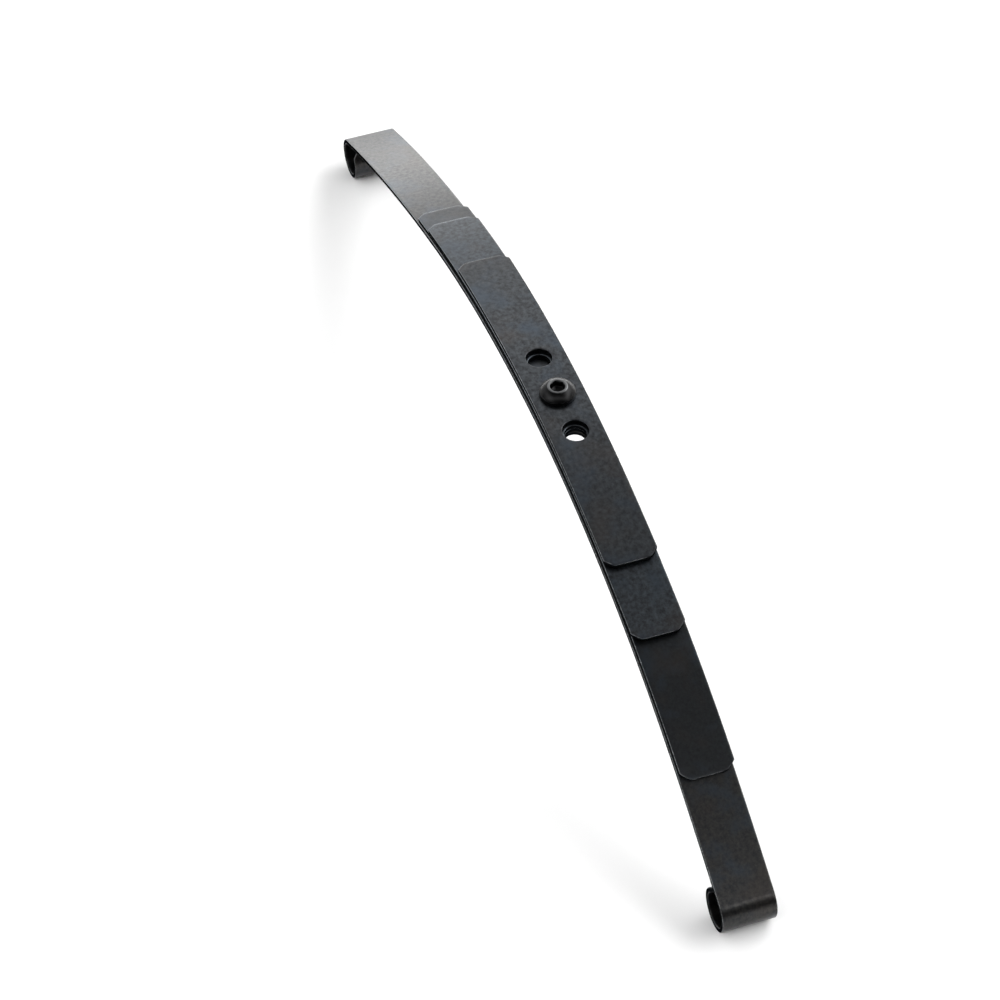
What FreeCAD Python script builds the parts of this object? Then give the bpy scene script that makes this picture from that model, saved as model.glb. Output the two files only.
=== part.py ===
import FreeCAD
import Part
import math
import os

# Bundled leaf spring for a model truck, millimetres.
# +X runs along the spring to the front eye, +Y across it, +Z up.
# It stands on its two eyes, with their lowest lines at z = 0.

strip_width = 8.5
strip_thickness = 0.75
leaf_gap = 0.02
edge_break = 0.1

# Each half of the arch is a chain of arcs, as (radius, length) pairs.
# Radii are those of the main leaf's underside.
# The last rear length brings both eyes to one height.
front_arcs = [(141.5, 60.0), (218.0, 24.6)]
rear_arcs = [(167.5, 45.0), (300.0, 51.2917)]

# Rolled eyes of the main leaf.
eye_inner_radius = 2.65
eye_wrap_degrees = 312.0

# Reach of each added leaf from the screw, as (rear, front), bottom leaf first.
second_leaf_reach = (56.0, 66.1)
third_leaf_reach = (50.0, 44.4)
fourth_leaf_reach = (34.9, 32.4)
corner_cut = 1.3

# Rows of holes through the leaves, counted in pitches from the screw to the front.
# Only the first two places go through every leaf, the others end at a solid one.
hole_radius = 1.7
top_hole_radius = 2.0
hole_pitch = 8.0
main_holes = (0, 1, 2)
second_holes = (0, 1)
upper_holes = (-1, 0, 1)

# M3 x 6 button head screw.
screw_radius = 1.5
screw_length = 6.0
screw_tip_chamfer = 0.35
head_radius = 2.8
head_height = 1.65
head_rim_height = 0.6
head_flat_radius = 1.45
head_bulge = 0.14
head_edge_break = 0.1
socket_flats = 2.0
socket_depth = 1.04
socket_mouth_radius = 1.25

# M3 lock nut with a captive nylon ring.
nut_flats = 5.5
nut_height = 4.0
nut_hex_height = 2.7
nut_seat_drop = 0.028
nut_face_inset = 0.1
nut_chamfer_degrees = 30.0
nut_bore_chamfer = 0.25
crown_radius = 2.4
crown_round = 0.45
pocket_radius = 2.05
pocket_floor = 2.5
lip_radius = 1.85
lip_thickness = 0.3
ring_height = 1.15
ring_chamfer = 0.15

# How far cutting tools run past the surface that they cut.
overrun = 1.0
tool_margin = 0.2
wedge_drop = 0.5

leaf_pitch = strip_thickness + leaf_gap
leaf_count = 4
stack_height = (leaf_count - 1) * leaf_pitch + strip_thickness
eye_outer_radius = eye_inner_radius + strip_thickness
eye_arc = (eye_inner_radius, eye_inner_radius * math.radians(eye_wrap_degrees))
whole_length = 1e6


def chain(arcs, reach):
    """Arcs of one half as (centre x, centre z, radius, start, end), cut at a reach."""
    pieces = []
    radius = arcs[0][0]
    centre_x = 0.0
    centre_z = -radius
    angle = 0.0
    left = reach
    for next_radius, length in arcs:
        centre_x += (radius - next_radius) * math.sin(angle)
        centre_z += (radius - next_radius) * math.cos(angle)
        radius = next_radius
        used = min(length, left)
        pieces.append((centre_x, centre_z, radius, angle, angle + used / radius))
        angle += used / radius
        left -= used
        if left <= 0.0:
            break
    return pieces


def eye_centre(arcs):
    """Centre of the eye that ends one half, in that half's own frame."""
    last = chain(arcs + [eye_arc], whole_length)[-1]
    return last[0], last[1]


front_eye_x, front_eye_z = eye_centre(front_arcs)
rear_eye_x, rear_eye_z = eye_centre(rear_arcs)
crown_z = eye_outer_radius - front_eye_z
screw_x = (rear_eye_x - front_eye_x) / 2.0


def place(side, x, y, z):
    """Point of a half arch in the part's frame; side is 1 at the front, -1 at the rear."""
    return FreeCAD.Vector(screw_x + side * x, y, crown_z + z)


def outward(side, angle):
    """Direction square to the strip, away from the arc's centre."""
    return FreeCAD.Vector(side * math.sin(angle), 0, math.cos(angle))


def arc_point(piece, angle, offset, side, y):
    """Point of an arc at an angle, raised off the main leaf's underside by an offset."""
    centre = place(side, piece[0], y, piece[1])
    return centre + outward(side, angle) * (piece[2] + offset)


def half_edges(pieces, offset, side):
    """Arc edges of one surface of a half, from the screw outwards."""
    edge_y = -strip_width / 2.0
    edges = []
    for piece in pieces:
        start, end = piece[3], piece[4]
        angles = (start, (start + end) / 2.0, end)
        points = [arc_point(piece, angle, offset, side, edge_y) for angle in angles]
        edges.append(Part.Arc(*points).toShape())
    return edges


def tip_cutters(pieces, offset, side):
    """Wedges that take the two corners off a free end."""
    piece = pieces[-1]
    angle = piece[4]
    normal = outward(side, angle)
    along = FreeCAD.Vector(side * math.cos(angle), 0, -math.sin(angle))
    corners = (
        (-corner_cut - overrun, overrun),
        (tool_margin, -corner_cut - tool_margin),
        (tool_margin, overrun),
    )
    cutters = []
    for hand in (-1.0, 1.0):
        corner = arc_point(piece, angle, offset - wedge_drop, side, hand * strip_width / 2.0)
        outline = []
        for forward, across in corners:
            outline.append(corner + along * forward + FreeCAD.Vector(0, hand * across, 0))
        outline.append(outline[0])
        wedge = Part.Face(Part.makePolygon(outline))
        cutters.append(wedge.extrude(normal * (wedge_drop + strip_thickness + tool_margin)))
    return cutters


def hole_cutters(radius, places):
    """Radial cylinders for one leaf's holes, long enough for any level of the stack."""
    height = stack_height + 2.0 * overrun
    cutters = []
    for place_number in places:
        side = -1 if place_number < 0 else 1
        arcs = rear_arcs if side < 0 else front_arcs
        distance = abs(place_number) * hole_pitch
        angle = distance / arcs[0][0]
        base = arc_point(chain(arcs, distance)[0], angle, -overrun, side, 0.0)
        cutters.append(Part.makeCylinder(radius, height, base, outward(side, angle)))
    return cutters


def long_edges(shape):
    """Edges that follow the arch along both sides of a strip."""
    shortest = 5.0
    found = []
    for edge in shape.Edges:
        flat = abs(edge.BoundBox.YMax - edge.BoundBox.YMin) < leaf_gap
        if flat and edge.Length > shortest:
            found.append(edge)
    return found


def leaf(rear_pieces, front_pieces, level, holes):
    """One leaf at its level in the stack, pierced by the given cutters."""
    low = level * leaf_pitch
    top = low + strip_thickness
    edges = []
    for side, pieces in ((1, front_pieces), (-1, rear_pieces)):
        edges += half_edges(pieces, top, side) + half_edges(pieces, low, side)
        last = pieces[-1]
        ends = [arc_point(last, last[4], offset, side, -strip_width / 2.0) for offset in (top, low)]
        edges.append(Part.makeLine(*ends))
    wire = Part.Wire(Part.__sortEdges__(edges))
    body = Part.Face(wire).extrude(FreeCAD.Vector(0, strip_width, 0))
    for cutter in tip_cutters(front_pieces, low, 1) + tip_cutters(rear_pieces, low, -1):
        body = body.cut(cutter)
    body = body.makeFillet(edge_break, long_edges(body))
    for cutter in holes:
        body = body.cut(cutter)
    return body


def main_leaf():
    rear = chain(rear_arcs + [eye_arc], whole_length)
    front = chain(front_arcs + [eye_arc], whole_length)
    return leaf(rear, front, 0, hole_cutters(hole_radius, main_holes))


def added_leaf(reach, level, holes):
    rear = chain(rear_arcs, reach[0])
    front = chain(front_arcs, reach[1])
    return leaf(rear, front, level, holes)


def axis_point(radius, z):
    return FreeCAD.Vector(screw_x + radius, 0, z)


def revolve(outline):
    """Solid of revolution on the screw's axis.

    The outline's points are (radius, z). A point (radius, z, "arc") is passed
    through by an arc from the point before it to the one after it.
    """
    closed = outline + outline[:1]
    edges = []
    start = 0
    while start < len(outline):
        is_arc = len(closed[start + 1]) == 3
        steps = 2 if is_arc else 1
        points = [axis_point(*point[:2]) for point in closed[start:start + steps + 1]]
        edges.append(Part.Arc(*points).toShape() if is_arc else Part.makeLine(*points))
        start += steps
    face = Part.Face(Part.Wire(edges))
    return face.revolve(axis_point(0, 0), FreeCAD.Vector(0, 0, 1), 360)


def hexagon(flats, base, height):
    """Hexagonal prism on the screw's axis."""
    reach = flats / math.sqrt(3.0)
    corners = []
    for index in range(7):
        angle = math.radians(30 + 60 * index)
        corners.append(axis_point(reach * math.cos(angle), base))
        corners[-1].y = reach * math.sin(angle)
    return Part.Face(Part.makePolygon(corners)).extrude(FreeCAD.Vector(0, 0, height))


def centre_screw():
    seat = crown_z + stack_height
    top = seat + head_height
    end = seat - screw_length
    rim = seat + head_rim_height
    run = head_radius - head_flat_radius
    rise = top - rim
    slope = math.hypot(run, rise)
    dome_radius = (head_radius + head_flat_radius) / 2.0 + head_bulge * rise / slope
    dome_z = (rim + top) / 2.0 + head_bulge * run / slope
    screw = revolve([
        (0.0, end),
        (screw_radius - screw_tip_chamfer, end),
        (screw_radius, end + screw_tip_chamfer),
        (screw_radius, seat),
        (head_radius - head_edge_break, seat),
        (head_radius, seat + head_edge_break),
        (head_radius, rim),
        (dome_radius, dome_z, "arc"),
        (head_flat_radius, top),
        (0.0, top),
    ])
    mouth = socket_mouth_radius - socket_flats / 2.0
    cone = Part.makeCone(socket_flats / 2.0, socket_mouth_radius, mouth, axis_point(0, top - mouth))
    screw = screw.cut(hexagon(socket_flats, top - socket_depth, socket_depth + overrun))
    return screw.cut(cone)


def lock_nut():
    seat = crown_z - nut_seat_drop
    end = seat - nut_height
    hex_end = seat - nut_hex_height
    corner = nut_flats / math.sqrt(3.0)
    face = nut_flats / 2.0 - nut_face_inset
    bevel = (corner - face) * math.tan(math.radians(nut_chamfer_degrees))
    envelope = revolve([
        (0.0, seat),
        (face, seat),
        (corner, seat - bevel),
        (corner, hex_end + bevel),
        (face, hex_end),
        (0.0, hex_end),
    ])
    half_round = crown_round * (1.0 - math.sqrt(0.5))
    crown = revolve([
        (0.0, hex_end + tool_margin),
        (crown_radius, hex_end + tool_margin),
        (crown_radius, end + crown_round),
        (crown_radius - half_round, end + half_round, "arc"),
        (crown_radius - crown_round, end),
        (0.0, end),
    ])
    prism = hexagon(nut_flats, hex_end, nut_hex_height)
    nut = prism.common(envelope).fuse(crown).removeSplitter()
    hollow = revolve([
        (0.0, seat + overrun),
        (screw_radius + nut_bore_chamfer + overrun, seat + overrun),
        (screw_radius + nut_bore_chamfer, seat),
        (screw_radius, seat - nut_bore_chamfer),
        (screw_radius, seat - pocket_floor),
        (pocket_radius, seat - pocket_floor),
        (pocket_radius, end + lip_thickness),
        (lip_radius, end + lip_thickness),
        (lip_radius, end - overrun),
        (0.0, end - overrun),
    ])
    return nut.cut(hollow)


def nut_nylon_ring():
    upper = crown_z - nut_seat_drop - pocket_floor
    lower = upper - ring_height
    return revolve([
        (screw_radius, upper),
        (pocket_radius, upper),
        (pocket_radius, lower),
        (screw_radius + ring_chamfer, lower),
        (screw_radius, lower + ring_chamfer),
    ])


def main():
    os.makedirs("parts", exist_ok=True)
    solids = {
        "main_leaf": main_leaf(),
        "second_leaf": added_leaf(second_leaf_reach, 1, hole_cutters(hole_radius, second_holes)),
        "third_leaf": added_leaf(third_leaf_reach, 2, hole_cutters(hole_radius, upper_holes)),
        "fourth_leaf": added_leaf(fourth_leaf_reach, 3, hole_cutters(top_hole_radius, upper_holes)),
        "centre_screw": centre_screw(),
        "lock_nut": lock_nut(),
        "nut_nylon_ring": nut_nylon_ring(),
    }
    for name, shape in solids.items():
        solid = shape.Solids[0]
        solid.exportStep("parts/" + name + ".step")
        box = solid.optimalBoundingBox()
        corners = (box.XMin, box.XMax, box.YMin, box.YMax, box.ZMin, box.ZMax)
        print(name, len(shape.Solids), solid.isValid(), [round(v, 3) for v in corners])


main()
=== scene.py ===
import math
import bpy
import bmesh
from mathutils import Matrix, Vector
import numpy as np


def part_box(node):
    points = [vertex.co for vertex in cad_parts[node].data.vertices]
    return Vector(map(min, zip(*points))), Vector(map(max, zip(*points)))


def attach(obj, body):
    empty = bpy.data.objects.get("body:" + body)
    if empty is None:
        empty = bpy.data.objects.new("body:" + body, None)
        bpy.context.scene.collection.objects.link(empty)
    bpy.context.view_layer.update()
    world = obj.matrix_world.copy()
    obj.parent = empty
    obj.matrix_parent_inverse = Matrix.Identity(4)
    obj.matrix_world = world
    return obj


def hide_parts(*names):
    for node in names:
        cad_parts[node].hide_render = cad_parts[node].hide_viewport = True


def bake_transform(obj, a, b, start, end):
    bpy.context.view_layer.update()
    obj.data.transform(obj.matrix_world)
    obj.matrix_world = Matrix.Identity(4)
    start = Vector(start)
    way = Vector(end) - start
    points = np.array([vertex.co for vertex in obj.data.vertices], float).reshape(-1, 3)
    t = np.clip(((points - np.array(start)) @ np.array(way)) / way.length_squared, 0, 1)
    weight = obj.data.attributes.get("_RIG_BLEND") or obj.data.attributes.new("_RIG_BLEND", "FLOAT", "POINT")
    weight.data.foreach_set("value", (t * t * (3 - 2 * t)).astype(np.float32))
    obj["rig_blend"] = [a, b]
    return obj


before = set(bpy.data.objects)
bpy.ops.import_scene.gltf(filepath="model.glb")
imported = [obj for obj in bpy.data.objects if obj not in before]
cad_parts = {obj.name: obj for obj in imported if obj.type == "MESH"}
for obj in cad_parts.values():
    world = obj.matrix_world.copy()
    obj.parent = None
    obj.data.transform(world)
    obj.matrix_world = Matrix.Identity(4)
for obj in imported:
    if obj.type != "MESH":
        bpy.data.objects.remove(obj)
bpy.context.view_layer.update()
scene = bpy.context.scene
mm = 0.001
print("frame loaded:", sorted(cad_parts))


def linearColour(hexCode):
    channels = [int(hexCode[i:i + 2], 16) / 255 for i in (1, 3, 5)]
    curve = [c / 12.92 if c <= 0.04045 else ((c + 0.055) / 1.055) ** 2.4 for c in channels]
    return (*curve, 1.0)


def socketOf(sockets, key):
    return next(s for s in sockets if key in (s.identifier, s.name))


def addNode(tree, kind, settings=None, links=None):
    # settings are node properties or socket values by name, links are output sockets by input name
    node = tree.nodes.new(kind)
    for key, value in (settings or {}).items():
        if key in node.bl_rna.properties:
            setattr(node, key, value)
        else:
            socketOf(node.inputs, key).default_value = value
    for key, source in (links or {}).items():
        made, output = source if isinstance(source, tuple) else (source, source.outputs[0].identifier)
        tree.links.new(socketOf(made.outputs, output), socketOf(node.inputs, key))
    return node


def feedShader(tree, shader, links):
    for key, (made, output) in links.items():
        tree.links.new(socketOf(made.outputs, output), shader.inputs[key])


def newMaterial(name, shaderSettings):
    material = bpy.data.materials.new(name)
    material.use_nodes = True
    tree = material.node_tree
    shader = tree.nodes["Principled BSDF"]
    for key, value in shaderSettings.items():
        shader.inputs[key].default_value = value
    return material, tree, shader


def newPiece(name, mesh, material, body, node):
    piece = bpy.data.objects.new(name, mesh)
    scene.collection.objects.link(piece)
    mesh.materials.append(material)
    for face in mesh.polygons:
        face.use_smooth = True
    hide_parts(node)
    if body:
        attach(piece, body)
    return piece


mainLow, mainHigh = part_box("main_leaf")
screwLow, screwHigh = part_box("centre_screw")
nutLow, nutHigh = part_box("lock_nut")
ringLow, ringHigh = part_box("nut_nylon_ring")
screwX = (screwLow.x + screwHigh.x) / 2 / mm
stripWidth = (mainHigh.y - mainLow.y) / mm

strip = {
    "thickness": 0.75,
    "pitch": 0.77,  # one leaf's underside to the next
    "frontArcs": [(141.5, 60.0), (218.0, 24.6)],  # radius of the lowest leaf's underside, length
    "rearArcs": [(167.5, 45.0), (300.0, 51.2917)],
    "eyeRadius": 2.65,
    "eyeWrap": 312,  # degrees
    "cornerCut": 1.3,
    "cornerEase": 0.04,  # softens where a corner's cut begins, in square mm
    "cornerFade": 4.0,  # the cut corners bend the mesh this far from each end
    "holePitch": 8.0,
    "edgeRound": 0.12,
    "cell": 1.4,  # mesh spacing along the arch
    "eyeCell": 0.3,
    "tipCell": 0.45,
    "tipRoom": 0.5,  # fine spacing goes on this far past a cut corner
    "betweenHoles": 0.65,
    "edgeRows": (0.8, 0.4),  # rows of mesh this far inside the long edges
    "patchCells": 12,
    "patchHalf": 2.7,  # square of mesh round a hole
    "holeCollar": 0.3,  # ring of mesh round a hole's edge
    "cutMargin": 0.1,  # a cut face stops this far inside the leaf's two faces
    "edgeTop": 0.01,  # a cut face never reaches closer to the top than this
    "rightShadeReach": 0.2,  # this near the right edge, the cut face's dark goes all the way up as painted shade
    "patternStep": 20,  # from one leaf's slice of the patterns to the next
    "liftLength": 11.0,  # a lifted tip starts to rise this far before its end
}
crownZ = mainHigh.z / mm - strip["thickness"]
eyeArc = (strip["eyeRadius"], strip["eyeRadius"] * math.radians(strip["eyeWrap"]))

# per leaf, bottom first: its own tone of steel, hole radius, hole places in pitches from the screw with how
# far each is off, sideways shift in the loose holes at the rear and front end, and how far the rear and front
# tips stand off the leaf below, in mm
leaves = [
    {"name": "mainLeaf", "node": "main_leaf", "tone": "#444342", "holeRadius": 1.7,
     "holes": {0: 0.0, 1: -0.2, 2: -0.1}, "shift": (0.0, 0.0), "lift": (0.0, 0.0)},
    {"name": "secondLeaf", "node": "second_leaf", "tone": "#383a3c", "holeRadius": 1.7,
     "holes": {0: 0.0, 1: -0.15}, "shift": (0.12, 0.22), "lift": (0.0, 0.0)},
    {"name": "thirdLeaf", "node": "third_leaf", "tone": "#4a4f54", "holeRadius": 1.7,
     "holes": {-1: 0.0, 0: 0.0, 1: -0.1}, "shift": (-0.03, 0.02), "lift": (0.0, 0.45)},
    {"name": "fourthLeaf", "node": "fourth_leaf", "tone": "#434649", "holeRadius": 2.02,
     "holes": {-1: -0.2, 0: -0.1, 1: -0.2}, "shift": (0.05, 0.0), "lift": (0.0, 0.25)},
]


def bentPoint(along, across, height):
    # a point of the flat strip once it is rolled to the arch; height is above the lowest leaf's underside
    side = 1 if along >= 0 else -1
    left = abs(along)
    x, z, angle = 0.0, 0.0, 0.0
    for radius, length in strip["frontArcs" if side > 0 else "rearArcs"] + [eyeArc]:
        used = min(left, length)
        centreX, centreZ = x - radius * math.sin(angle), z - radius * math.cos(angle)
        angle += used / radius
        x, z = centreX + radius * math.sin(angle), centreZ + radius * math.cos(angle)
        left -= used
        if left <= 0:
            break
    x += height * math.sin(angle)
    z += height * math.cos(angle)
    return Vector((screwX + side * x, across, crownZ + z)) * mm


def reachOf(node, level):
    # how far a leaf reaches to the rear and to the front along the strip, found from its box in the frame
    low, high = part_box(node)
    found = []
    for side, goal in ((-1, low.x), (1, high.x)):
        near, far = 10.0, 80.0  # less and more than any leaf reaches
        while far - near > 0.001:
            tried = (near + far) / 2
            at = bentPoint(side * tried, 0.0, level * strip["pitch"] + strip["thickness"])
            if side * (at.x - goal) < 0:
                near = tried
            else:
                far = tried
        found.append(near)
    return found


mainReach = [sum(a[1] for a in strip[side]) + eyeArc[1] for side in ("rearArcs", "frontArcs")]
for level, leaf in enumerate(leaves):
    leaf["reach"] = reachOf(leaf["node"], level) if level else mainReach
    print("reach of", leaf["name"], [round(value, 2) for value in leaf["reach"]])


def evenSteps(start, end, spacing):
    count = max(1, round(abs(end - start) / spacing))
    return [start + (end - start) * i / count for i in range(count)]


def columnPlaces(leaf):
    # stations along the strip, close together at the holes, at the tips and in the eyes
    rearReach, frontReach = leaf["reach"]
    half, pitch, cells = strip["patchHalf"], strip["holePitch"], strip["patchCells"]
    tip, tipCell = strip["cornerCut"] + strip["tipRoom"], strip["tipCell"]
    rearEye, frontEye = (mainReach[i] - eyeArc[1] for i in (0, 1))
    stops = [(-rearReach, tipCell), (tip - rearReach, strip["cell"])]
    if rearReach > rearEye:
        stops[1:] = [(tip - rearReach, strip["eyeCell"]), (-rearEye, strip["cell"])]
    for place in leaf["holes"]:
        centre = place * pitch
        stops += [(centre - half, 2 * half / cells), (centre + half, strip["betweenHoles"])]
    stops[-1] = (max(leaf["holes"]) * pitch + half, strip["cell"])
    if frontReach > frontEye:
        stops.append((frontEye, strip["eyeCell"]))
    stops += [(frontReach - tip, tipCell), (frontReach, 0.0)]
    places = []
    for (start, spacing), (end, _) in zip(stops, stops[1:]):
        places += evenSteps(start, end, spacing)
    return places + [frontReach]


def rowPlaces():
    half, edge = strip["patchHalf"], stripWidth / 2
    inner = evenSteps(-half, half, 2 * half / strip["patchCells"]) + [half]
    outer = [edge - strip["cornerCut"], *(edge - inset for inset in strip["edgeRows"]), edge]
    return [-v for v in reversed(outer)] + inner + outer


def cornerTrim(across):
    # how far the cut corner pulls the end back, with a small round where the cut begins
    past = abs(across) - (stripWidth / 2 - strip["cornerCut"])
    return (past + math.sqrt(past * past + strip["cornerEase"])) / 2


def flatPlate(bm, leaf):
    reach = leaf["reach"]
    columns, rows = columnPlaces(leaf), rowPlaces()
    half, near = strip["patchHalf"], 1e-6
    centres = [place * strip["holePitch"] for place in leaf["holes"]]
    fade = strip["cornerFade"]

    def trimmed(x, y):
        trim = cornerTrim(y) - cornerTrim(0)
        if x > 0:
            return x - trim * max(0.0, 1 - (reach[1] - x) / fade)
        return x + trim * max(0.0, 1 - (x + reach[0]) / fade)

    def inPatch(x, y, room):
        return abs(y) < half + room and any(abs(x - c) < half + room for c in centres)

    grid = {}
    for x in columns:
        for y in rows:
            if not inPatch(x, y, -near):
                grid[x, y] = bm.verts.new((trimmed(x, y), y, 0))
    for x, nextX in zip(columns, columns[1:]):
        for y, nextY in zip(rows, rows[1:]):
            if not inPatch((x + nextX) / 2, (y + nextY) / 2, 0):
                bm.faces.new((grid[x, y], grid[nextX, y], grid[nextX, nextY], grid[x, nextY]))
    for centre, slip in zip(centres, leaf["holes"].values()):
        square = [v for v in grid.values()
                  if abs(v.co.x - centre) < half + near and abs(v.co.y) < half + near]
        square.sort(key=lambda v: math.atan2(v.co.y, v.co.x - centre))
        rings = [square]
        middle = centre + slip
        for radius in (leaf["holeRadius"] + strip["holeCollar"], leaf["holeRadius"]):
            ring = []
            for v in square:
                angle = math.atan2(v.co.y, v.co.x - centre)
                ring.append(bm.verts.new((middle + radius * math.cos(angle), radius * math.sin(angle), 0)))
            rings.append(ring)
        count = len(square)
        for outer, inner in zip(rings, rings[1:]):
            for k in range(count):
                n = (k + 1) % count
                bm.faces.new((outer[k], outer[n], inner[n], inner[k]))


def rimDistance(x, y, reach):
    # distance in mm from the strip's outline
    edge = stripWidth / 2
    tip = reach[1] - x if x > 0 else x + reach[0]
    corner = (tip + edge - abs(y) - strip["cornerCut"]) / math.sqrt(2)
    return max(0.0, min(edge - abs(y), tip, corner))


def tipLift(x, leaf):
    # how far a tip stands off the leaf below at that place, in mm
    front = x > 0
    tip = leaf["reach"][1] - x if front else x + leaf["reach"][0]
    return leaf["lift"][front] * max(0.0, 1 - tip / strip["liftLength"]) ** 2


def writeAttribute(mesh, name, kind, field, values):
    mesh.attributes.new(name, kind, "POINT")
    if kind != "FLOAT":
        values = [number for value in values for number in value]
    mesh.attributes[name].data.foreach_set(field, values)


def leafMesh(leaf, level):
    bm = bmesh.new()
    flatPlate(bm, leaf)
    made = bmesh.ops.extrude_face_region(bm, geom=bm.faces[:])
    for part in made["geom"]:
        if isinstance(part, bmesh.types.BMVert):
            part.co.z += strip["thickness"]
    bmesh.ops.recalc_face_normals(bm, faces=bm.faces[:])
    sharp = [e for e in bm.edges if len(e.link_faces) == 2 and e.calc_face_angle() > math.radians(20)]
    bmesh.ops.bevel(bm, geom=sharp, offset=strip["edgeRound"], segments=3, profile=0.5, affect="EDGES",
                    clamp_overlap=True)
    flat = [v.co.copy() for v in bm.verts]
    rearShift, frontShift = leaf["shift"]
    rear, front = leaf["reach"]
    for v in bm.verts:
        shift = rearShift + (frontShift - rearShift) * (v.co.x + rear) / (rear + front)
        height = v.co.z + level * strip["pitch"] + tipLift(v.co.x, leaf)
        v.co = bentPoint(v.co.x, v.co.y + shift, height)
    mesh = bpy.data.meshes.new(leaf["name"])
    bm.to_mesh(mesh)
    bm.free()
    # patterns follow the strip as it was when flat; each leaf takes its own slice of them
    thickness, margin = strip["thickness"], strip["cutMargin"]
    places = [(at.x, at.y, at.z + strip["patternStep"] * level) for at in flat]
    writeAttribute(mesh, "flatPlace", "FLOAT_VECTOR", "vector", places)
    writeAttribute(mesh, "leafTone", "FLOAT_COLOR", "color", [linearColour(leaf["tone"])] * len(flat))
    # the light edge lines, wear mixed with a painted highlight, go on the upper side only
    rims = [rimDistance(at.x, at.y, leaf["reach"]) if at.z > thickness / 2 else 1.0 for at in flat]
    writeAttribute(mesh, "rimDistance", "FLOAT", "value", rims)
    # 1 on the cut faces: the sides, the ends, the walls of the holes, and all of the right edge, where it is
    #                     painted shade
    cutFacesAndRightShade = []
    for at, rim in zip(flat, rims):
        inRightShade = at.y > stripWidth / 4 and rim < strip["rightShadeReach"]
        top = thickness - strip["edgeTop"] - (0.0 if inRightShade else margin)
        cutFacesAndRightShade.append(float(margin < at.z < top))
    writeAttribute(mesh, "cutFaceAndRightShade", "FLOAT", "value", cutFacesAndRightShade)
    return mesh


bending = {
    "eyeClear": 4.0,  # mm beside an eye's centre that stays with the eyes
    "ease": 0.2,  # share of a half over which the bend begins
}
eyeX = (mainHigh.x / mm - strip["eyeRadius"] - strip["thickness"],
        mainLow.x / mm + strip["eyeRadius"] + strip["thickness"])


def bendShare(x):
    # 0 at the eyes, 1 at the screw: the bending line of a beam held at both ends and pushed in the middle
    end = eyeX[0] if x > screwX else eyeX[1]
    span = abs(end - screwX) - bending["eyeClear"]
    t = min(max(1 - abs(x - screwX) / span, 0.0), 1.0)
    u = (1 + bending["ease"]) * t * t / (t + bending["ease"])
    return (3 * u - u ** 3) / 2


def makeLeaves(material):
    for level, leaf in enumerate(leaves):
        mesh = leafMesh(leaf, level)
        piece = newPiece(leaf["name"], mesh, material, None, leaf["node"])
        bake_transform(piece, "main_leaf", "centre_pack", start=(eyeX[0] * mm, 0, 0), end=(screwX * mm, 0, 0))
        share = mesh.attributes["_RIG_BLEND"].data
        for i, v in enumerate(mesh.vertices):
            share[i].value = bendShare(v.co.x / mm)
        even = piece.modifiers.new("evenShading", "WEIGHTED_NORMAL")
        even.keep_sharp = False
        print("leaf made:", leaf["name"], len(mesh.vertices), "points")


def ringStack(bm, rings, count, closed=False):
    # each ring gives (radius, height) in mm for an angle; quads join neighbours, and caps close an open stack
    loops = []
    for ring in rings:
        loop = []
        for k in range(count):
            angle = 2 * math.pi * k / count
            radius, height = ring(angle)
            loop.append(bm.verts.new((radius * math.cos(angle), radius * math.sin(angle), height)))
        loops.append(loop)
    pairs = list(zip(loops, loops[1:])) + ([(loops[-1], loops[0])] if closed else [])
    for low, high in pairs:
        for k in range(count):
            n = (k + 1) % count
            bm.faces.new((low[k], low[n], high[n], high[k]))
    if not closed:
        for loop, height in ((loops[0], rings[0](0)[1]), (loops[-1], rings[-1](0)[1])):
            middle = bm.verts.new((0, 0, height))
            for k in range(count):
                bm.faces.new((loop[k], loop[(k + 1) % count], middle))


def plainRing(radius, height):
    return lambda angle: (radius, height)


def hexReach(angle, flats):
    # distance from the axis to a hexagon's side
    return flats / 2 / math.cos((angle % (math.pi / 3)) - math.pi / 6)


def turnedMesh(name, bm):
    # from the screw's own axis to its place, clean and closed
    bmesh.ops.remove_doubles(bm, verts=bm.verts[:], dist=1e-5)
    bmesh.ops.dissolve_degenerate(bm, edges=bm.edges[:], dist=1e-6)
    bmesh.ops.recalc_face_normals(bm, faces=bm.faces[:])
    for v in bm.verts:
        v.co = Vector((v.co.x + screwX, v.co.y, v.co.z)) * mm
    mesh = bpy.data.meshes.new(name)
    bm.to_mesh(mesh)
    bm.free()
    return mesh


def roundEdges(piece, width):
    # rounds the edges sharper than 28 degrees
    soft = piece.modifiers.new("softEdges", "BEVEL")
    soft.width = width * mm
    soft.segments = 2
    soft.limit_method = "ANGLE"
    soft.angle_limit = math.radians(28)
    soft.use_clamp_overlap = True
    even = piece.modifiers.new("evenShading", "WEIGHTED_NORMAL")
    even.keep_sharp = False


screw = {
    "radius": 1.5,
    "rootRadius": 1.2,
    "threadPitch": 0.5,
    "length": 6.0,
    "tipChamfer": 0.35,
    "headRadius": 2.8,
    "headHeight": 1.65,
    "seatRound": 0.12,
    "rimHeight": 0.6,
    "bulge": 0.14,  # of the domed side, off a straight cone
    "sideSteps": 9,
    "lastStep": 0.97,  # share of the side where its last ring stands, close to the flat top
    "flatRadius": 1.45,
    "socketFlats": 2.0,
    "socketDepth": 1.04,
    "mouthRadius": 1.22,
    "mouthSlope": 1.7,  # depth to width of the mouth's chamfer
    "drillRadius": 0.3,
    "drillDepth": 0.25,
    "highlightDepth": 0.02,  # the flat ring round the socket is painted lighter as a highlight, down to here
    "edgeRound": 0.04,
    "threadOverlap": 0.2,  # the thread's mesh runs this far into the head
    "threadProfile": [0.0, 0.5, 1.0, 1.0, 0.5, 0.0, 0.0, 0.0],  # root to crest, round one turn
    "sides": 96,
    "threadSides": 48,
}


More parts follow.
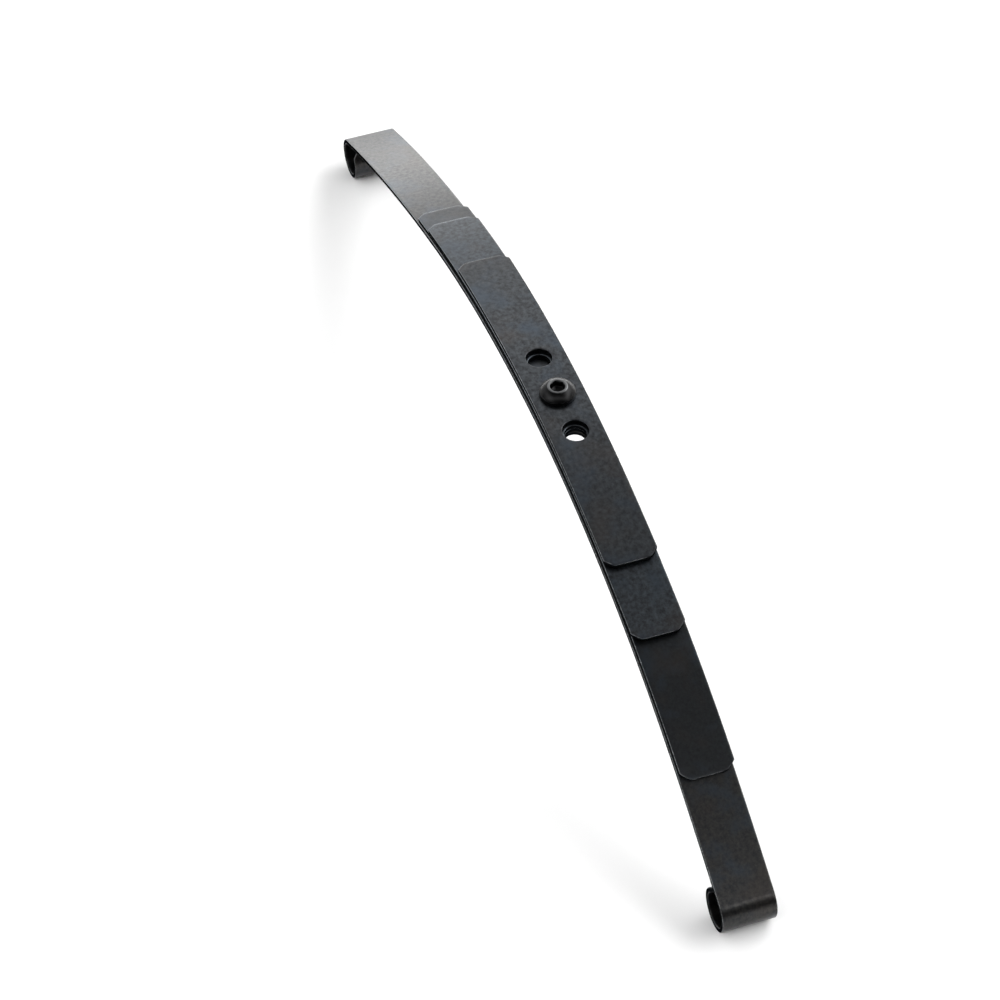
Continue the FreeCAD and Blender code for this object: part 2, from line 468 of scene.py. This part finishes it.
def screwHeadRings(seat):
    top = seat + screw["headHeight"]
    rim, flat = screw["headRadius"], screw["flatRadius"]
    bend = screw["seatRound"]
    rings = [plainRing(rim - bend, seat), plainRing(rim - bend / 4, seat + bend / 4),
             plainRing(rim, seat + bend)]
    # the sides rise as a nearly straight cone to the flat top
    run, rise = rim - flat, screw["headHeight"] - screw["rimHeight"]
    slope = math.hypot(run, rise)
    steps = screw["sideSteps"]
    for t in [k / steps for k in range(steps)] + [screw["lastStep"], 1.0]:
        swell = 4 * t * (1 - t) * screw["bulge"]
        rings.append(plainRing(rim - run * t + swell * rise / slope,
                               seat + screw["rimHeight"] + rise * t + swell * run / slope))
    mouth, flats = screw["mouthRadius"], screw["socketFlats"]
    rings.append(plainRing(mouth, top))
    slant = screw["mouthSlope"]
    rings.append(lambda angle: (hexReach(angle, flats), top - (mouth - hexReach(angle, flats)) * slant))
    for depth in (0.5, 1.0):
        low = top - screw["socketDepth"] * depth
        rings.append(lambda angle, low=low: (hexReach(angle, flats), low))
    rings.append(plainRing(screw["drillRadius"], top - screw["socketDepth"] - screw["drillDepth"]))
    return rings


def addThread(bm, low, high):
    # a screw thread on a helix; the tip's chamfer cuts its first turn
    sides, profile, pitch = screw["threadSides"], screw["threadProfile"], screw["threadPitch"]
    steps = len(profile)
    turns = math.ceil((high - low) / pitch) + 1
    count = turns * steps
    rings = []
    for k in range(count + 1):
        loop = []
        for side in range(sides):
            share = side / sides
            height = low + pitch * (k / steps + share - 1)
            crest = profile[k % steps]
            radius = screw["rootRadius"] + (screw["radius"] - screw["rootRadius"]) * crest
            clamped = min(max(height, low), high)
            limit = screw["radius"] - screw["tipChamfer"] + (clamped - low)
            radius = min(radius, limit)
            angle = 2 * math.pi * share
            if height <= low:
                radius = screw["radius"] - screw["tipChamfer"]
            if height >= high:
                radius = screw["rootRadius"]
            loop.append(bm.verts.new((radius * math.cos(angle), radius * math.sin(angle), clamped)))
        rings.append(loop)
    for k in range(count):
        for side in range(sides - 1):
            bm.faces.new((rings[k][side], rings[k][side + 1], rings[k + 1][side + 1], rings[k + 1][side]))
        if k + 1 + steps <= count:
            last = sides - 1
            bm.faces.new((rings[k][last], rings[k + steps][0], rings[k + 1 + steps][0], rings[k + 1][last]))
    for loop, height in ((rings[0], low), (rings[-1], high)):
        middle = bm.verts.new((0, 0, height))
        for side in range(sides):
            bm.faces.new((loop[side], loop[(side + 1) % sides], middle))


def makeScrew(material):
    seat = screwHigh.z / mm - screw["headHeight"]
    head, shank = bmesh.new(), bmesh.new()
    ringStack(head, screwHeadRings(seat), screw["sides"])
    piece = newPiece("centreScrew", turnedMesh("centreScrew", head), material, "centre_pack",
                     "centre_screw")
    # the flat ring round the socket is marked for a painted highlight
    flat = screwHigh.z - screw["highlightDepth"] * mm
    paintedHighlight = [float(v.co.z > flat) for v in piece.data.vertices]
    writeAttribute(piece.data, "paintedHighlight", "FLOAT", "value", paintedHighlight)
    roundEdges(piece, screw["edgeRound"])
    addThread(shank, seat - screw["length"], seat + screw["threadOverlap"])
    thread = newPiece("centreScrewThread", turnedMesh("centreScrewThread", shank), material, "centre_pack",
                      "centre_screw")
    print("screw made:", len(piece.data.vertices) + len(thread.data.vertices), "points")


nut = {
    "flats": 5.5,
    "hexHeight": 2.7,
    "faceRadius": 2.62,
    "crownRadius": 2.4,
    "crownRound": 0.45,
    "collarSteps": [(0.12, 0.0), (0.03, 0.04), (0.0, 0.14)],  # out and down, where collar and hexagon meet
    "boreRadius": 1.53,
    "boreChamfer": 0.25,
    "pocketRadius": 2.05,
    "pocketFloor": 2.5,
    "lipRadius": 1.85,
    "lipThickness": 0.3,
    "slope": 0.577,  # tangent of the 30 degree corner chamfer
    "edgeRound": 0.05,
    "roundSteps": 8,
    "lipSteps": 4,
    "sides": 96,
}


def makeNut(material):
    seat, end = nutHigh.z / mm, nutLow.z / mm
    hexEnd = seat - nut["hexHeight"]
    flats, face, crown, bend = nut["flats"], nut["faceRadius"], nut["crownRadius"], nut["crownRound"]
    slope, chamfer = nut["slope"], nut["boreChamfer"]
    rings = [
        plainRing(nut["boreRadius"], seat - chamfer),
        plainRing(nut["boreRadius"] + chamfer, seat),
        plainRing(face, seat),
        lambda a: (hexReach(a, flats), seat - (hexReach(a, flats) - face) * slope),
        lambda a: (hexReach(a, flats), hexEnd + (hexReach(a, flats) - face) * slope),
        plainRing(face, hexEnd),
    ]
    rings += [plainRing(crown + out, hexEnd - down) for out, down in nut["collarSteps"]]
    steps, lipSteps = nut["roundSteps"], nut["lipSteps"]
    for k in range(steps + 1):
        t = math.pi / 2 * k / steps
        rings.append(plainRing(crown - bend + bend * math.cos(t), end + bend - bend * math.sin(t)))
    lip = crown - bend - nut["lipRadius"]
    for k in range(1, lipSteps + 1):
        t = math.pi / 2 * k / lipSteps
        rings.append(plainRing(crown - bend - lip * math.sin(t), end + lip * (1 - math.cos(t))))
    rings += [
        plainRing(nut["lipRadius"], end + nut["lipThickness"]),
        plainRing(nut["pocketRadius"], end + nut["lipThickness"]),
        plainRing(nut["pocketRadius"], seat - nut["pocketFloor"]),
        plainRing(nut["boreRadius"], seat - nut["pocketFloor"]),
    ]
    bm = bmesh.new()
    ringStack(bm, rings, nut["sides"], closed=True)
    piece = newPiece("lockNut", turnedMesh("lockNut", bm), material, "centre_pack",
                     "lock_nut")
    roundEdges(piece, nut["edgeRound"])
    print("nut made:", len(piece.data.vertices), "points")


nylonInsert = {
    "boreRadius": 1.42,
    "swell": 0.07,  # how far the lower face, the one that shows, bulges
    "play": 0.01,  # beside the nut's pocket
    "inset": 0.02,  # above and below
    "boreLead": 0.2,  # the bore starts this far above the lower face
    "steps": 8,
    "sides": 96,
}


def makeNylonRing(material):
    inset, steps = nylonInsert["inset"], nylonInsert["steps"]
    upper, lower = ringHigh.z / mm - inset, ringLow.z / mm + inset
    outer = (ringHigh.x - ringLow.x) / 2 / mm - nylonInsert["play"]
    inner, swell = nylonInsert["boreRadius"], nylonInsert["swell"]
    rings = [plainRing(inner, upper), plainRing(outer, upper), plainRing(outer, lower)]
    for k in range(1, steps):
        t = k / steps
        rings.append(plainRing(outer + (inner - outer) * t, lower + swell * (1 - math.sin(math.pi * t))))
    rings.append(plainRing(inner, lower - inset + nylonInsert["boreLead"]))
    bm = bmesh.new()
    ringStack(bm, rings, nylonInsert["sides"], closed=True)
    piece = newPiece("nylonRing", turnedMesh("nylonRing", bm), material, "centre_pack",
                     "nut_nylon_ring")
    print("nylon ring made:", len(piece.data.vertices), "points")


springSteel = {
    "dark": "#2a2b2d",
    "blue": "#3b434c",
    "brown": "#433d39",
    # light edge lines: wear mixed with a painted highlight
    "wearAndHighlight": "#85888a",
    # the cut colour also paints shade along the whole right edge
    "cut": "#17191b",
    "cutSheen": "#3a3a3a",  # of a cut face seen along its surface
    "roughness": (0.28, 0.37),
    "cutRoughness": 0.6,
    "cloudSize": 6.0,  # mm
    "brownPerMm": 0.12,
    "mottleSize": 0.7,
    "grainWidth": 0.12,  # mm, drawn wider than the real 0.02 mm so that it shows
    "grainLength": 3.5,
    "speckSize": 0.2,
    "relief": 0.18,  # how strongly grain and specks show in the surface
    "reliefDepth": 0.02,
}


def bluedSpringSteel():
    # spring strip, blacked after hardening: a dark satin metal with a fine lengthwise grain, faint cloudy
    # blue and brown patches, duller and darker where the strip was cut, with thin light lines of wear and
    # painted highlight on the upper edges, and painted shade along the right edge
    v = springSteel
    material, tree, shader = newMaterial("blued spring steel", {"Metallic": 1.0})
    attribute = "ShaderNodeAttribute"
    place = (addNode(tree, attribute, {"attribute_name": "flatPlace"}), "Vector")
    rim = (addNode(tree, attribute, {"attribute_name": "rimDistance"}), "Fac")
    cutFaceAndRightShade = (addNode(tree, attribute, {"attribute_name": "cutFaceAndRightShade"}), "Fac")
    noise, spread, mix = "ShaderNodeTexNoise", "ShaderNodeMapRange", "ShaderNodeMix"

    def blended(low, high, share):
        colours = {"A_Color": low, "B_Color": high}
        fixed = {key: linearColour(value) for key, value in colours.items() if isinstance(value, str)}
        links = {key: value for key, value in colours.items() if not isinstance(value, str)}
        node = addNode(tree, mix, {"data_type": "RGBA", **fixed}, {"Factor_Float": share, **links})
        return node, "Result_Color"

    cloud = addNode(tree, noise, {"Scale": 1 / v["cloudSize"], "Detail": 5.0, "Roughness": 0.6},
                    {"Vector": place})
    blueShare = addNode(tree, spread, {"From Min": 0.5, "From Max": 0.68, "To Max": 0.6}, {"Value": cloud})
    # W moves the brown areas off the blue ones
    brown = addNode(tree, noise, {"Scale": v["brownPerMm"], "Detail": 3.0,
                                  "noise_dimensions": "4D", "W": 3.0}, {"Vector": place})
    brownShare = addNode(tree, spread, {"From Min": 0.52, "From Max": 0.75, "To Max": 0.6}, {"Value": brown})
    mottle = addNode(tree, noise, {"Scale": 1 / v["mottleSize"], "Detail": 6.0, "Roughness": 0.7},
                     {"Vector": place})
    mottleShare = addNode(tree, spread, {"From Min": 0.35, "From Max": 0.65}, {"Value": mottle})
    speck = addNode(tree, noise, {"Scale": 1 / v["speckSize"], "Detail": 3.0, "Roughness": 0.7},
                    {"Vector": place})
    perGrain = (1 / v["grainLength"], 1 / v["grainWidth"], 1.0)
    stretched = addNode(tree, "ShaderNodeVectorMath", {"operation": "MULTIPLY", "Vector_001": perGrain},
                        {"Vector": place})
    grain = addNode(tree, noise, {"Scale": 1.0, "Detail": 4.0, "Roughness": 0.6}, {"Vector": stretched})
    # wear and painted highlight: within a tenth of a millimetre of an outer edge, broken up by the specks
    wearAndHighlightEdge = addNode(tree, spread, {"From Min": 0.02, "From Max": 0.13, "To Min": 1.0, "To Max": 0.0},
                       {"Value": rim})
    wearAndHighlightBreak = addNode(tree, spread, {"From Min": 0.38, "From Max": 0.6, "To Max": 0.8}, {"Value": speck})
    wearAndHighlightMask = addNode(tree, "ShaderNodeMath", {"operation": "MULTIPLY"},
                   {"Value": wearAndHighlightEdge, "Value_001": wearAndHighlightBreak})
    tone = (addNode(tree, attribute, {"attribute_name": "leafTone"}), "Color")
    tinted = blended(blended(tone, v["dark"], mottleShare), v["blue"], blueShare)
    # the light edge lines here are wear mixed with a painted highlight
    wearAndHighlight = blended(blended(tinted, v["brown"], brownShare), v["wearAndHighlight"], wearAndHighlightMask)
    # the cut colour here is also painted shade on the right edge
    colour = blended(wearAndHighlight, v["cut"], cutFaceAndRightShade)
    satin = addNode(tree, spread, {"From Min": 0.3, "From Max": 0.7, "To Min": v["roughness"][0],
                                   "To Max": v["roughness"][1]}, {"Value": mottle})
    rough = addNode(tree, mix, {"B_Float": v["cutRoughness"]}, {"Factor_Float": cutFaceAndRightShade, "A_Float": satin})
    relief = addNode(tree, "ShaderNodeMath", {"operation": "ADD"}, {"Value": grain, "Value_001": speck})
    bump = addNode(tree, "ShaderNodeBump", {"Strength": v["relief"], "Distance": v["reliefDepth"] * mm},
                   {"Height": relief})
    sheen = blended("#ffffff", v["cutSheen"], cutFaceAndRightShade)
    feedShader(tree, shader, {"Base Color": colour, "Roughness": (rough, "Result_Float"),
                              "Specular Tint": sheen, "Normal": (bump, "Normal")})
    return material


def speckledFinish(name, shaderSettings, dark, light, size, roughness, paintedHighlight=None):
    # two close tones in a noise of that size in mm, which also varies the gloss, and a third painted on as a
    # highlight where the mask is set
    material, tree, shader = newMaterial(name, shaderSettings)
    place = (addNode(tree, "ShaderNodeTexCoord"), "Object")
    noise = addNode(tree, "ShaderNodeTexNoise", {"Scale": 1 / (size * mm), "Detail": 4.0}, {"Vector": place})
    tint = addNode(tree, "ShaderNodeMix", {"data_type": "RGBA", "A_Color": linearColour(dark),
                                           "B_Color": linearColour(light)}, {"Factor_Float": noise})
    rough = addNode(tree, "ShaderNodeMapRange", {"To Min": roughness[0], "To Max": roughness[1]},
                    {"Value": noise})
    if paintedHighlight:
        share = (addNode(tree, "ShaderNodeAttribute", {"attribute_name": "paintedHighlight"}), "Fac")
        tint = addNode(tree, "ShaderNodeMix", {"data_type": "RGBA", "B_Color": linearColour(paintedHighlight)},
                       {"Factor_Float": share, "A_Color": (tint, "Result_Color")})
    feedShader(tree, shader, {"Base Color": (tint, "Result_Color"), "Roughness": (rough, "Result")})
    return material


def blackOxideSteel():
    # alloy steel screw, black oxide and oil: nearly black, satin, with a thin painted highlight ring round
    # the socket
    return speckledFinish("black oxide steel", {"Metallic": 1.0}, "#19191a", "#222222", 0.6, (0.26, 0.35),
                          "#5c5d5e")


def platedSteel():
    # zinc plated nut: bright, slightly warm, with soft handling marks
    return speckledFinish("zinc plated steel", {"Metallic": 1.0}, "#a9a39d", "#c9c6c2", 1.1, (0.16, 0.3))


def darkNylon():
    # moulded nylon insert: dark, slightly waxy plastic
    return speckledFinish("dark nylon", {"IOR": 1.53}, "#16181b", "#24272b", 0.7, (0.4, 0.55))


makeLeaves(bluedSpringSteel())
blackOxide = blackOxideSteel()
makeScrew(blackOxide)
makeNut(platedSteel())
makeNylonRing(darkNylon())


studio = {
    "floorColour": "#f4f4f4",
    "floorHalf": 4.0,  # m
    "farSide": (-0.943, 0.333, 0.0),
    # brightness of the cove by the angle in degrees from its far foot, over the top, to its near foot
    "cove": [(0, 2.2), (6, 1.3), (12, 0.9), (20, 1.5), (28, 2.0), (37, 2.1), (47, 1.5), (56, 0.7), (71, 0.5),
             (83, 0.13), (95, 0.1), (104, 0.1), (114, 0.15), (118, 2.6), (126, 2.6), (131, 0.15), (145, 0.05),
             (180, 0.05)],
    # two softboxes high on the +Y and -Y sides, with the shares of a direction that point across and up where
    # each starts and is full
    "rightBox": 6.0,
    "leftBox": 2.4,
    "boxAcross": (0.48, 0.66),
    "boxUp": (0.4, 0.62),
    # a low bright card that stands just above the floor at the far end, in m and W
    "card": {"distance": 0.45, "width": 0.9, "height": 0.035, "gap": 0.001, "power": 0.8},
}


def makeFloor():
    half = studio["floorHalf"]
    mesh = bpy.data.meshes.new("studioFloor")
    corners = [(-half, -half, 0), (half, -half, 0), (half, half, 0), (-half, half, 0)]
    mesh.from_pydata(corners, [], [(0, 1, 2, 3)])
    floor = bpy.data.objects.new("studioFloor", mesh)
    scene.collection.objects.link(floor)
    material, tree, shader = newMaterial("pale floor", {
        "Base Color": linearColour(studio["floorColour"]), "Roughness": 0.9, "Specular IOR Level": 0.0})
    mesh.materials.append(material)


def direction(azimuth, elevation):
    a, e = math.radians(azimuth), math.radians(elevation)
    return Vector((math.sin(a) * math.cos(e), -math.cos(a) * math.cos(e), math.sin(e)))


def makeLights():
    card = studio["card"]
    light = bpy.data.lights.new("farCard", "AREA")
    light.shape = "RECTANGLE"
    light.size, light.size_y = card["width"], card["height"]
    light.energy = card["power"]
    lamp = bpy.data.objects.new("farCard", light)
    away = Vector(studio["farSide"])
    lamp.location = away * card["distance"] + Vector((0, 0, card["height"] / 2 + card["gap"]))
    lamp.rotation_euler = away.to_track_quat("Z", "Y").to_euler()
    lamp.visible_camera = False
    scene.collection.objects.link(lamp)
    world = bpy.data.worlds.new("studioCove")
    world.use_nodes = True
    scene.world = world
    tree = world.node_tree
    maths, spread = "ShaderNodeMath", "ShaderNodeMapRange"
    sky = (addNode(tree, "ShaderNodeTexCoord"), "Generated")
    parts = addNode(tree, "ShaderNodeSeparateXYZ", None, {"Vector": sky})
    towards = addNode(tree, "ShaderNodeVectorMath",
                      {"operation": "DOT_PRODUCT", "Vector_001": studio["farSide"]}, {"Vector": sky})
    angle = addNode(tree, maths, {"operation": "ARCTAN2"},
                    {"Value": (parts, "Z"), "Value_001": (towards, "Value")})
    share = addNode(tree, maths, {"operation": "DIVIDE", "Value_001": math.pi}, {"Value": angle})
    curve = addNode(tree, "ShaderNodeFloatCurve", None, {"Value": share})
    peak = max(value for _, value in studio["cove"])
    line = curve.mapping.curves[0]
    for index, (degrees, value) in enumerate(studio["cove"]):
        spot = (degrees / 180, value / peak)
        if index < 2:  # a new curve already has two points
            line.points[index].location = spot
        else:
            line.points.new(*spot)
    for point in line.points:
        point.handle_type = "VECTOR"
    curve.mapping.update()
    cove = addNode(tree, maths, {"operation": "MULTIPLY", "Value_001": peak}, {"Value": curve})
    start, full = studio["boxAcross"]
    low, high = studio["boxUp"]
    right = addNode(tree, spread, {"From Min": start, "From Max": full, "To Max": studio["rightBox"]},
                    {"Value": (parts, "Y")})
    left = addNode(tree, spread, {"From Min": -start, "From Max": -full, "To Max": studio["leftBox"]},
                   {"Value": (parts, "Y")})
    both = addNode(tree, maths, {"operation": "ADD"}, {"Value": right, "Value_001": left})
    up = addNode(tree, spread, {"From Min": low, "From Max": high}, {"Value": (parts, "Z")})
    boxes = addNode(tree, maths, {"operation": "MULTIPLY"}, {"Value": both, "Value_001": up})
    glow = addNode(tree, maths, {"operation": "ADD"}, {"Value": cove, "Value_001": boxes})
    back = tree.nodes["Background"]
    back.inputs["Color"].default_value = (1, 1, 1, 1)
    tree.links.new(glow.outputs[0], back.inputs["Strength"])


view = {
    "azimuth": 70.563,
    "elevation": 47.07,
    "distance": 0.641,
    "lens": 147.25,
    "sensor": 36.0,
    "target": (0.833, -7.279, 5.941),  # mm
}


def makeCamera():
    data = bpy.data.cameras.new("studioCamera")
    data.lens = view["lens"]
    data.sensor_width = view["sensor"]
    data.clip_start, data.clip_end = 0.01, 20.0
    camera = bpy.data.objects.new("studioCamera", data)
    away = direction(view["azimuth"], view["elevation"])
    camera.location = Vector(view["target"]) * mm + away * view["distance"]
    camera.rotation_euler = away.to_track_quat("Z", "Y").to_euler()
    scene.collection.objects.link(camera)
    scene.camera = camera


makeFloor()
makeLights()
makeCamera()
scene.view_settings.view_transform = "Standard"
scene.view_settings.look = "None"
print("studio ready")
